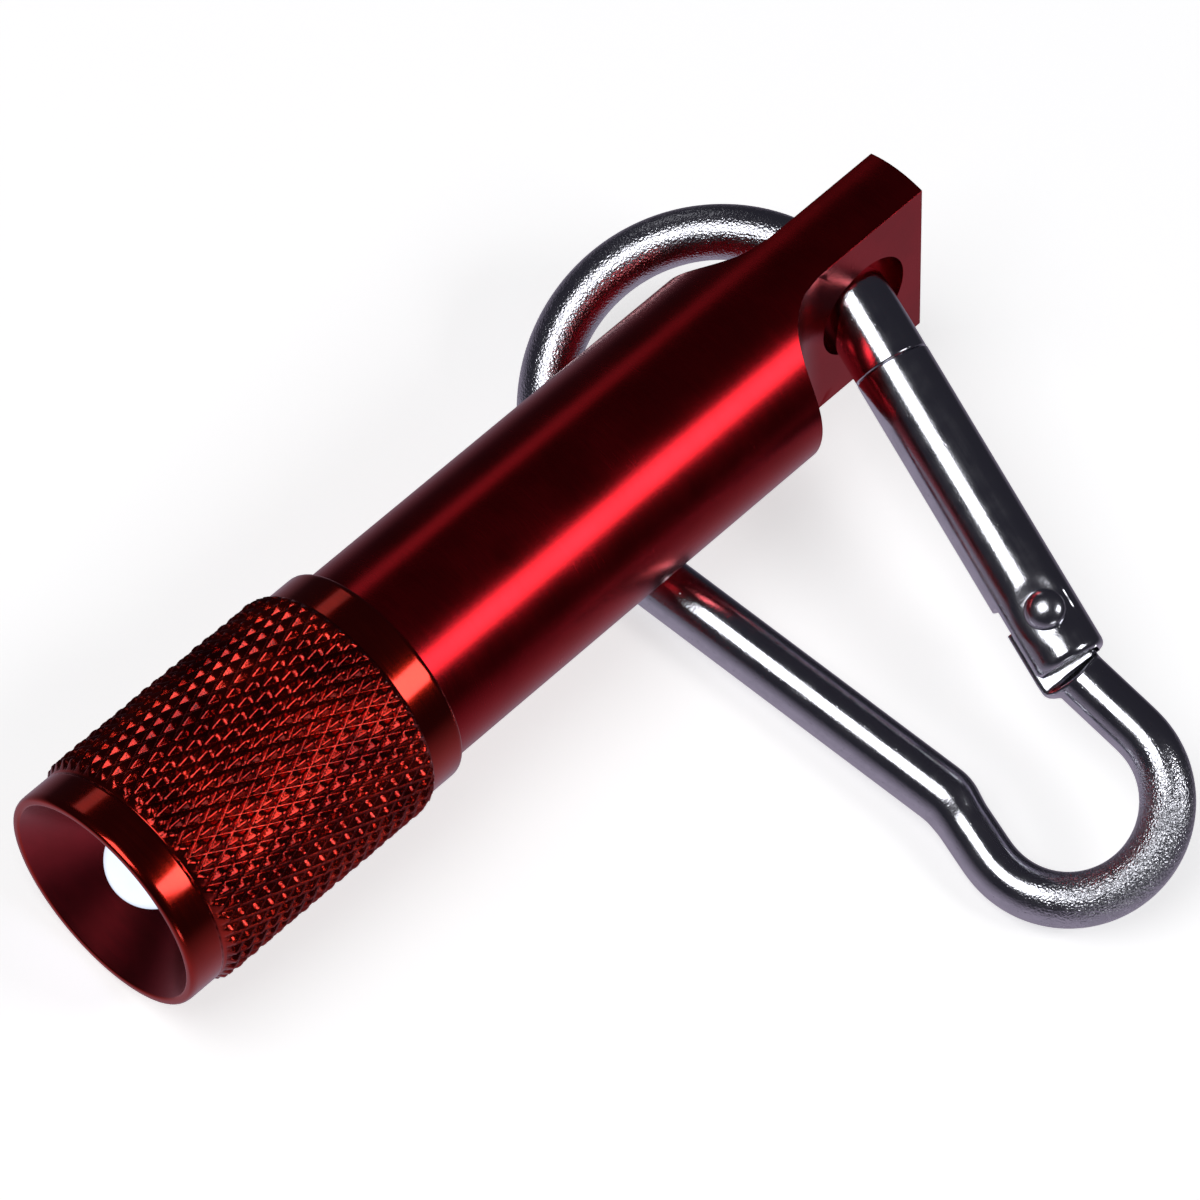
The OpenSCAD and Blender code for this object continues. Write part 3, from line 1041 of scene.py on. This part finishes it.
        inside = sheet(x, y, z[:, None])
        low = np.linspace(corner[0, 0], 2 * math.pi - corner[0, 0], n_floor + 1)
        circle = np.concatenate([a[0], -low[1:-1]])
        rows = np.concatenate([np.linspace(front, slot - 0.9, 24),
                               np.linspace(slot - 0.75, slot, 6)])
        bar = polar(self.gate_radius, circle, rows[:, None])
        bar = np.concatenate([np.tile([0.0, 0.0, front], (1, len(circle), 1)), self.dimple(bar)])
        face_x = self.gate_radius * np.cos(low)
        face_x = face_x + (floor - face_x) * share[:, None]
        face = sheet(face_x, self.gate_radius * np.sin(low), slot)
        cap = inside[-1] + (skin[-1] - inside[-1]) * np.linspace(0, 1, 5)[:, None, None]
        shell = Shell(self.gate_place())
        shell.add(bar, loop_cols=True)
        for patch in (skin, inside, face, cap):
            shell.add(patch)
        return shell

    def rivet_shell(self) -> Shell:
        """Builds the rivet: a turned profile with a domed head at each end.

        Returns:
            The closed shell, its heads sunk into the gate.
        """
        sunk, wide, tall, rise, shank = 0.3, 1.12, 0.72, 0.12, 0.72
        foot = self.gate_radius - sunk
        a = np.linspace(0, math.pi / 2, 14)
        dome = sheet(foot + rise + tall * np.cos(a), wide * np.sin(a))
        half = np.concatenate([dome, [(foot, wide - 0.04), (foot, shank)]])
        profile = np.concatenate([half, half[::-1] * [-1, 1]])
        gate = self.gate_place()
        axes = np.array([[1, 0, 0], [0, 0, 1], [0, 1, 0]], float)
        place = gate.moved((self.rivet[1], 0, self.rivet[0]), axes)
        return Shell(place).add(revolved(profile, turn(48)), loop_cols=True)

    def make(self) -> None:
        """Builds the wire, gate and rivet and dresses them."""
        wire = Nickel("hook_plating").build()
        gate = Nickel("gate_plating", rough=0.17, pits=0.12).build()
        stud = Nickel("rivet_plating", rough=0.2, pits=0.1).build()
        piece("hook_wire", self.frame_shell(), "carabiner", [wire],
              ["carabiner_frame"])
        piece("gate_sleeve", self.gate_shell(), "gate", [gate],
              ["carabiner_gate"], Edge(0.05))
        piece("rivet_stud", self.rivet_shell(), "carabiner", [stud],
              ["gate_rivet"])


# ---- the parts inside


@dataclass
class Insides:
    """The cells, springs, contacts and holder, which keep their shapes and get a finish each."""

    place: Place

    def make(self) -> None:
        """Dresses every node that stays as it is."""
        wear = (
            (Hidden("seal_rubber", (0.02, 0.02, 0.022, 1), rough=0.6), ["neck_o_ring"]),
            (Hidden("sleeve_white", (0.8, 0.79, 0.74, 1)), ["battery_sleeve"]),
            (Hidden("cell_steel", (0.62, 0.62, 0.64, 1), 1.0, 0.28, 4),
             [f"button_cell_{k}" for k in range(1, 5)]),
            (Hidden("spring_wire", (0.55, 0.55, 0.57, 1), 1.0, 0.25, 9),
             ["tail_spring", "gate_spring", "gate_plunger"]),
            (Hidden("lead_tin", (0.7, 0.7, 0.72, 1), 1.0, 0.35), ["led_cathode", "led_anode"]),
            (Hidden("chip_yellow", (0.85, 0.7, 0.15, 1), rough=0.5), ["led_chip"]),
            (Hidden("holder_black", (0.025, 0.025, 0.028, 1)), ["led_holder"]),
            (Hidden("contact_brass", (0.78, 0.56, 0.2, 1), 1.0, 0.3),
             ["ground_ring", "contact_button"]),
            (Hidden("board_green", (0.02, 0.22, 0.09, 1), rough=0.35), ["contact_board"]))
        for finish, names in wear:
            dress = finish.build(self.place)
            for name in names:
                kept = frame["nodes"][name].data.materials
                kept.clear()
                kept.append(dress)
                log.info("%s: dressed in %s", name, finish.name)


# ---- the studio


@dataclass(frozen=True)
class Softbox:
    """A square diffused lamp.

    Args:
        name: its name.
        towards: the direction from the object to the lamp.
        distance: how far off it is, in metres.
        size: its width and height, in metres.
        radiance: how bright its face is.
    """

    name: str
    towards: Triple
    distance: float
    size: Pair
    radiance: float

    def make(self, aim: Sequence[float]) -> None:
        """Hangs the lamp and turns its face to the object."""
        data = bpy.data.lights.new(self.name, "AREA")
        data.shape = "RECTANGLE"
        data.size, data.size_y = self.size
        data.energy = self.radiance * math.pi * self.size[0] * self.size[1]
        lamp = placed(self.name, data)
        way = Vector(self.towards).normalized()
        lamp.location = Vector(aim) + way * self.distance
        lamp.rotation_euler = way.to_track_quat("Z", "Y").to_euler()


@dataclass
class Studio:
    """Camera, floor, lamps and surroundings, in metres of the row frame."""

    eye: Triple = (0.1855, 0.0833, 0.3569)
    right: Triple = (-0.6876, 0.7013, 0.1881)
    up: Triple = (-0.5599, -0.6771, 0.4775)
    lens: float = 233.8
    ground: float = -0.0001
    paler_way: Triple = (0.2, 0.15, -0.97)
    aim: Triple = (-0.004, -0.004, 0.006)

    def camera(self) -> None:
        """Puts a long lens where the object is seen from above its front, rolled a little."""
        data = bpy.data.cameras.new("camera")
        data.lens, data.sensor_width, data.clip_start, data.clip_end = self.lens, 36, 0.01, 20
        camera = placed("camera", data)
        right, up = Vector(self.right).normalized(), Vector(self.up)
        back = right.cross(up).normalized()
        up = back.cross(right)
        turn_to = Matrix((right, up, back)).transposed().to_4x4()
        camera.matrix_world = Matrix.Translation(self.eye) @ turn_to
        bpy.context.scene.camera = camera

    def floor(self) -> None:
        """Lays a broad disc, its rings closer near the object."""
        rings = np.stack([np.zeros(8), np.array([0, 0.05, 0.1, 0.3, 0.8, 2, 5, 9]) / MM], 1)
        place = Place(np.array([0, 0, self.ground]), np.eye(3))
        mesh = Shell(place).add(revolved(rings, turn(64)), loop_cols=True).mesh("floor")
        if mesh.polygons[0].normal.z < 0:
            mesh.flip_normals()
        ground = placed("floor", mesh)
        tree = material("pale_floor")
        cloud = tree.noise(tree.place(), 30, 3)
        mesh.materials.append(tree.finish({
            "Base Color": tree.mix(cloud, (0.86, 0.86, 0.87, 1), (0.88, 0.88, 0.885, 1)),
            "Roughness": 0.9, "Specular IOR Level": 0.0,
            "Emission Color": (1, 1, 1, 1), "Emission Strength": 0.66}))
        ground.visible_glossy = False

    def surroundings(self) -> None:
        """A dark room that is paler below the object and ahead of its lamp."""
        world = bpy.data.worlds.new("room")
        bpy.context.scene.world = world
        tree = Tree(world)
        way = tree.out("ShaderNodeTexCoord", {}, "Generated")
        dot = tree.out("ShaderNodeVectorMath", {0: way, 1: tuple(unit(np.array(self.paler_way)))},
                       "Value", operation="DOT_PRODUCT")
        colour = tree.out("ShaderNodeValToRGB", {0: dot}, "Color")
        stops = colour.node.color_ramp.elements
        stops[0].position, stops[0].color = 0.05, (0.022, 0.021, 0.028, 1)
        stops[1].position, stops[1].color = 0.75, (0.33, 0.29, 0.36, 1)
        back = tree.out("ShaderNodeBackground", {"Color": colour})
        tree.node("ShaderNodeOutputWorld", {"Surface": back})

    def make(self) -> None:
        """Sets up everything round the object."""
        self.camera()
        self.floor()
        self.surroundings()
        for lamp in (
                Softbox("key", (0.45, -0.17, 0.88), 0.55, (0.31, 0.31), 3.2),
                Softbox("rear", (-0.36, 0.588, 0.725), 0.6, (0.20, 0.20), 5.0),
                Softbox("side_fill", (-0.3, -0.85, 0.40), 0.7, (0.16, 0.16), 0.4),
                Softbox("far_card", (0.28, 0.95, 0.12), 0.5, (0.16, 0.08), 1.6)):
            lamp.make(self.aim)
        bpy.context.scene.view_settings.view_transform = "Standard"


def write_sizes() -> None:
    """Brings the view layer's matrices up to date."""
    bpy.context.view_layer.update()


def main() -> None:
    """Builds the studio and every sub-assembly, in order."""
    logging.basicConfig(level=logging.INFO, format="%(message)s")
    torch, hook = torch_place(), hook_place()
    Studio().make()
    for part in (BodyTube(torch), TwistHead(torch), Lamp(torch), SnapHook(hook), Insides(torch)):
        part.make()
        log.info("%s done", type(part).__name__)
    write_sizes()


if __name__ == "__main__":
    main()
